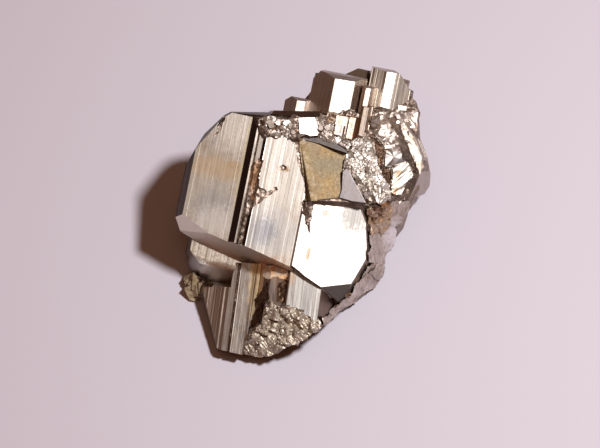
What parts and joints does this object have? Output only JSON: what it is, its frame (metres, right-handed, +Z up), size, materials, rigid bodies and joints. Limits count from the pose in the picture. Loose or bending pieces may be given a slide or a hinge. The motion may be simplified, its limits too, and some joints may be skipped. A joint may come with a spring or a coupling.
{
  "type": "arsenopyrite crystal group",
  "caption": "Silvery arsenopyrite specimen: parallel striated prisms grown together over broken ground, lying on a flat break.",
  "frame": {"origin": "middle of the group's bounding box, on the ground under its flat break", "axes": "+Z up, +X to the right and +Y to the back as the group is looked at from the front, where the big striated faces look up and forward"},
  "size_m": [0.0414, 0.0458, 0.023],
  "materials": {
    "arsenopyrite": "satin"
  },
  "bodies": {
    "root": {"crystal_group": "arsenopyrite"}
  },
  "joints": []
}
